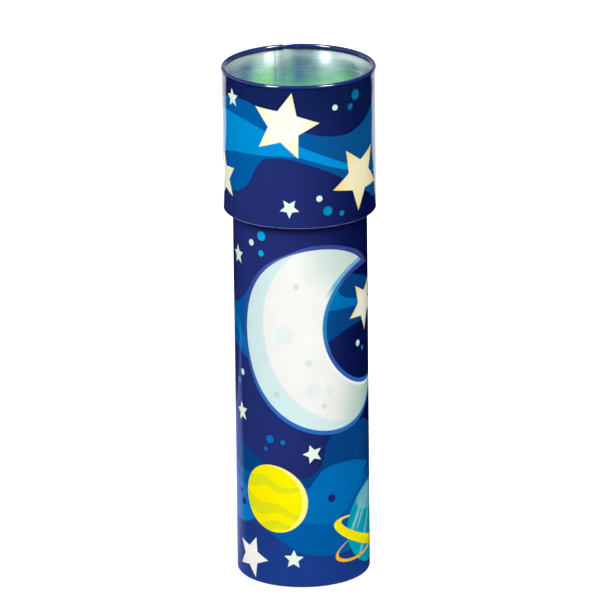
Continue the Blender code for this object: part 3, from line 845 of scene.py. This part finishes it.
def lapped_sheet(name, path, materials):
    """One sheet of tin bent round the axis, its far end running under its near end at the seam.

    The path is the middle of the sheet's thickness. The first material is on the face that the
    path's normals point out of, and the second on the other face and the edges.
    """
    normals = path_normals(path)
    turns = 1.0 + LAP_DEG / 360.0
    steps = int(ROUND_STEPS * turns)
    joggle = math.radians(JOGGLE_DEG)
    count = len(path)
    points = []
    for step in range(steps + 1):
        angle = math.radians(SEAM_DEG) + math.tau * turns * step / steps
        into_lap = (angle - math.radians(SEAM_DEG) - math.tau + joggle) / joggle
        share = min(max(into_lap, 0.0), 1.0)
        drop = (TIN + SIDE_CLEAR) * share * share * (3.0 - 2.0 * share)
        for face in (0.5, -0.5):
            section = path + normals * (TIN * face - drop)
            points.append(np.column_stack((
                section[:, 0] * math.sin(angle), -section[:, 0] * math.cos(angle), section[:, 1]
            )))
    points = np.concatenate(points)

    def corner(step, face, k):
        return (step * 2 + face) * count + k

    faces, slots = [], []
    for step in range(steps):
        for k in range(count - 1):
            outer = [corner(step, 0, k), corner(step + 1, 0, k)]
            outer += [corner(step + 1, 0, k + 1), corner(step, 0, k + 1)]
            inner = [corner(step, 1, k + 1), corner(step + 1, 1, k + 1)]
            inner += [corner(step + 1, 1, k), corner(step, 1, k)]
            faces += [outer, inner]
            slots += [0, 1]
        for k, order in ((0, 1), (count - 1, -1)):
            rim = [corner(step, 0, k), corner(step, 1, k), corner(step + 1, 1, k), corner(step + 1, 0, k)]
            faces.append(rim[::order])
            slots.append(1)
    for step, order in ((0, 1), (steps, -1)):
        for k in range(count - 1):
            end = [corner(step, 0, k), corner(step, 0, k + 1), corner(step, 1, k + 1), corner(step, 1, k)]
            faces.append(end[::order])
            slots.append(1)
    mesh = bpy.data.meshes.new(name)
    mesh.from_pydata(points.tolist(), [], faces)
    mesh.polygons.foreach_set("material_index", slots)
    for item in materials:
        mesh.materials.append(item)
    shape = bmesh.new()
    shape.from_mesh(mesh)
    bmesh.ops.recalc_face_normals(shape, faces=shape.faces)
    shape.to_mesh(mesh)
    shape.free()
    mesh.shade_smooth()
    mesh.set_sharp_from_angle(angle=math.radians(SHARP_DEG))
    obj = bpy.data.objects.new(name, mesh)
    bpy.context.scene.collection.objects.link(obj)
    return obj


def cap_piece(materials):
    """The cap from its turned-in flange up the wall to the curl pressed inward at its rim."""
    wall_r = CAP_R - TIN / 2
    flange_z = CAP_EDGE_Z + TIN / 2
    flange_end = np.array([[TUBE_R + RUN_GAP, flange_z]])
    bend = arc(wall_r - HEM_BEND_R, flange_z + HEM_BEND_R, HEM_BEND_R, 270, 360, 10)
    neck = np.array([wall_r, HEIGHT - RIM_NECK_H])
    curl_r = wall_r + RIM_FLARE - RIM_CURL_R
    top_z = HEIGHT - TIN / 2 - RIM_CURL_R
    over = arc(curl_r, top_z, RIM_CURL_R, RIM_CREASE_DEG, 180, 24)
    under = arc(curl_r, top_z - RIM_TUCK, RIM_CURL_R, 180, 290, 12)
    curl = np.concatenate((over, straight(over[-1], under[0], 3), under))
    flare = straight(neck, curl[0], FLARE_STEPS)
    share = np.linspace(0.0, 1.0, FLARE_STEPS + 1)[1:-1]
    flare[:, 0] = wall_r + (curl[0, 0] - wall_r) * share**3
    path = np.concatenate((
        flange_end, straight(flange_end[0], bend[0], 4), bend, straight(bend[-1], neck, 26),
        [neck], flare, curl
    ))
    return lapped_sheet("cap_tin", path, materials)


def tube_piece(materials):
    """The tube from the lip folded in at its foot up to the bead curled out at its top."""
    wall_r = TUBE_R - TIN / 2
    foot_r = wall_r - FOOT_BEND_R - FOOT_FLAT
    top_z = TUBE_TOP_Z - TIN / 2 - BEAD_R
    lip = arc(foot_r, FOOT_LIP_R + TIN / 2, FOOT_LIP_R, 180, 270, 8)
    bend = arc(wall_r - FOOT_BEND_R, FOOT_BEND_R + TIN / 2, FOOT_BEND_R, 270, 360, 12)
    bead = arc(wall_r + BEAD_R, top_z, BEAD_R, 180, -90, 22)
    path = np.concatenate((
        lip, straight(lip[-1], bend[0], 3), bend, straight(bend[-1], bead[0], 60), bead
    ))
    return lapped_sheet("tube_tin", path, materials)


def wire_ring(material):
    """The split ring of round wire that holds the frosted disc, its gap at the front."""
    low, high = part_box("retaining_ring")
    wire_r = (high.z - low.z) / 2
    ring_r = high.y - wire_r
    curve = bpy.data.curves.new("wire_ring", "CURVE")
    curve.dimensions = "3D"
    curve.bevel_depth = wire_r
    curve.bevel_resolution = 6
    curve.use_fill_caps = True
    spline = curve.splines.new("POLY")
    spline.points.add(ROUND_STEPS - 1)
    for point, share in zip(spline.points, np.linspace(0.0, 1.0, ROUND_STEPS)):
        angle = math.radians(WIRE_GAP_DEG / 2 - 90.0 + (360.0 - WIRE_GAP_DEG) * share)
        point.co = (ring_r * math.cos(angle), ring_r * math.sin(angle), (low.z + high.z) / 2, 1.0)
    curve.materials.append(material)
    ring = bpy.data.objects.new("wire_ring", curve)
    bpy.context.scene.collection.objects.link(ring)
    return ring


# ---------------------------------------------------------------- scene


def white_floor():
    """A white floor that is clear from below, with bright parts that the tin's sides reflect."""
    mesh = bpy.data.meshes.new("floor")
    shape = bmesh.new()
    bmesh.ops.create_grid(shape, x_segments=1, y_segments=1, size=FLOOR_SIZE)
    shape.to_mesh(mesh)
    shape.free()
    floor = bpy.data.objects.new("floor", mesh)
    bpy.context.scene.collection.objects.link(floor)
    floor.location.z = -FLOOR_DROP
    made, tree, shader = new_material("floor_white")
    paths = tree.nodes.new("ShaderNodeLightPath")
    to_camera = Field(tree, paths.outputs["Is Camera Ray"])
    to_gloss = Field(tree, paths.outputs["Is Glossy Ray"])
    split = tree.nodes.new("ShaderNodeSeparateXYZ")
    tree.links.new(tree.nodes.new("ShaderNodeTexCoord").outputs["Object"], split.inputs[0])
    x, y = (Field(tree, out) for out in split.outputs[:2])
    far = (x * FAR_SLANT + y).ramp(*FAR_START) * y.ramp(*FAR_END) * x.size().ramp(*FAR_SIDE)
    middle = y.ramp(*MIDDLE_END) * y.ramp(*MIDDLE_START) * (x + y * MIDDLE_SLANT).ramp(*MIDDLE_LEFT)
    near = y.ramp(*NEAR_END) * y.ramp(*NEAR_START) * (x + y * NEAR_SLANT).ramp(*NEAR_LEFT)
    left = (middle * MIDDLE_GLOW + near * NEAR_GLOW) * x.ramp(*BESIDE)
    tint = Paint(tree, HAZE).over(far.most(to_camera), WHITE)
    paint = Paint(tree, FLOOR_WHITE).over(to_gloss, BLACK)
    join(tree, paint.colour, shader.inputs["Base Color"])
    shader.inputs["Roughness"].default_value = 0.9
    shader.inputs["Specular IOR Level"].default_value = 0.0
    join(tree, tint.colour, shader.inputs["Emission Color"])
    glow = to_camera * FLOOR_GLOW + to_gloss * (far * FAR_GLOW + left)
    join(tree, glow, shader.inputs["Emission Strength"])
    clear = tree.nodes.new("ShaderNodeBsdfTransparent")
    either = tree.nodes.new("ShaderNodeMixShader")
    tree.links.new(tree.nodes.new("ShaderNodeNewGeometry").outputs["Backfacing"], either.inputs[0])
    tree.links.new(shader.outputs[0], either.inputs[1])
    tree.links.new(clear.outputs[0], either.inputs[2])
    tree.links.new(either.outputs[0], tree.nodes["Material Output"].inputs["Surface"])
    mesh.materials.append(made)


def studio():
    """A bright white room whose reflections keep the front of the tin dark."""
    world = bpy.data.worlds.new("studio")
    bpy.context.scene.world = world
    world.use_nodes = True
    tree = world.node_tree
    background = tree.nodes["Background"]
    paths = tree.nodes.new("ShaderNodeLightPath")
    split = tree.nodes.new("ShaderNodeSeparateXYZ")
    tree.links.new(tree.nodes.new("ShaderNodeTexCoord").outputs["Generated"], split.inputs[0])
    x, y, z = (Field(tree, out) for out in split.outputs)
    angle = x.math("ARCTAN2", -y) * math.degrees(1.0)
    left, right = (
        angle.ramp(start, full) * angle.ramp(end, fade)
        for start, full, fade, end in (LEFT_WALL, RIGHT_WALL)
    )
    walls = left * LEFT_WALL_GLOW + right * RIGHT_WALL_GLOW + angle.size().ramp(*BACK_WALL)
    to_gloss = Field(tree, paths.outputs["Is Glossy Ray"])
    mirrored = z.ramp(*WALL_FOOT) * z.ramp(*WALL_TOP) * walls * to_gloss
    glow = z.ramp(-0.1, 0.9) * WORLD_TOP + mirrored + WORLD_FILL
    grey = tree.nodes.new("ShaderNodeCombineColor")
    for slot in grey.inputs:
        join(tree, glow, slot)
    to_camera = Field(tree, paths.outputs["Is Camera Ray"])
    seen = Paint(tree, grey.outputs[0]).over(to_camera, WHITE)
    join(tree, seen.colour, background.inputs["Color"])


def soft_light(name, azimuth, elevation, distance, width, height, watts):
    """A rectangular soft light aimed at the middle of the object."""
    data = bpy.data.lights.new(name, "AREA")
    data.shape = "RECTANGLE"
    data.size, data.size_y = width, height
    data.energy = watts
    lamp = bpy.data.objects.new(name, data)
    bpy.context.scene.collection.objects.link(lamp)
    a, e = math.radians(azimuth), math.radians(elevation)
    out = Vector((math.sin(a) * math.cos(e), -math.cos(a) * math.cos(e), math.sin(e)))
    middle = Vector((0.0, 0.0, HEIGHT * LAMP_AIM_SHARE))
    lamp.location = middle + out * distance
    lamp.rotation_mode = "QUATERNION"
    lamp.rotation_quaternion = out.to_track_quat("Z", "Y")
    lamp.visible_camera = False
    lamp.visible_diffuse = name not in ONLY_IN_GLOSS
    lamp.visible_glossy = name not in NOT_IN_GLOSS


def camera():
    """The camera, in front of the object and aimed near its middle."""
    data = bpy.data.cameras.new("camera")
    data.sensor_width = CAMERA_SENSOR
    data.lens = CAMERA_LENS
    data.clip_end = 20.0
    obj = bpy.data.objects.new("camera", data)
    bpy.context.scene.collection.objects.link(obj)
    bpy.context.scene.camera = obj
    e = math.radians(CAMERA_ELEVATION)
    back = Vector((0.0, -math.cos(e), math.sin(e)))
    obj.location = Vector(CAMERA_AIM) + back * CAMERA_DISTANCE
    obj.rotation_mode = "QUATERNION"
    aimed = back.to_track_quat("Z", "Y")
    obj.rotation_quaternion = aimed @ Matrix.Rotation(math.radians(CAMERA_ROLL), 4, "Z").to_quaternion()


def main():
    studio()
    white_floor()
    camera()
    bpy.context.scene.view_settings.view_transform = "Standard"
    for name, settings in LAMPS.items():
        soft_light(name, *settings)

    bare = bare_tin("bare_tin", CAP_R)
    # Wear and a painted highlight along the cap's hem
    hem_wear_and_highlight = (CAP_EDGE_Z / MM + 0.2, 0.22, 0.5)
    cap_print = printed_tin("cap_print", CAP_R, CAP_PRINT_BASE, draw_cap, [hem_wear_and_highlight])
    # Wear and a painted highlight along the tube's foot
    foot_wear_and_highlight = (0.0, 0.12, 0.25)
    tube_print = printed_tin("tube_print", TUBE_R, TUBE_PRINT_BASE, draw_tube, [foot_wear_and_highlight])
    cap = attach(cap_piece([cap_print, bare]), "cap")
    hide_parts("cap_shell")
    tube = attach(tube_piece([tube_print, bare]), "tube")
    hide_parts("tube_shell")

    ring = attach(wire_ring(drawn_wire()), "cap")
    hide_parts("retaining_ring")

    glass = clear_plastic()
    card = fibrous("grey_card", srgb(140, 134, 124), srgb(172, 166, 156), 900.0, 0.9)
    tape = fibrous("paper_tape", srgb(196, 170, 118), srgb(216, 194, 146), 1400.0, 0.7)
    white = moulded_white()
    looks = {
        "eyepiece_end": bare, "eyepiece_window": glass, "eyepiece_card": card, "mask_card": card,
        "mirror_tape_1": tape, "mirror_tape_2": tape, "bearing_sleeve": card, "cell_seat": white,
        "cell_floor": glass, "cell_spacer": white, "diffuser": frosted_plastic(),
    }
    silver = silvered_glass()
    for index in (1, 2, 3):
        looks[f"mirror_{index}"] = silver
    for name, look in looks.items():
        frame["nodes"][name].data.materials.clear()
        frame["nodes"][name].data.materials.append(look)
    # Lamp light reaches the beads through the thin disc.
    frame["nodes"]["diffuser"].visible_shadow = False

    tints = {
        "green_bead": srgb(30, 170, 70), "blue_bead": srgb(20, 90, 200), "aqua_bead": srgb(20, 170, 190),
        "yellow_bead": srgb(245, 200, 30), "red_bead": srgb(215, 30, 50),
    }
    tinted = {slot: tinted_glass(slot, colour) for slot, colour in tints.items()}
    for part in frame["record"]["subparts"]:
        if part["material_slot"] in tinted:
            data = frame["nodes"][part["node"]].data
            data.materials.clear()
            data.materials.append(tinted[part["material_slot"]])


main()
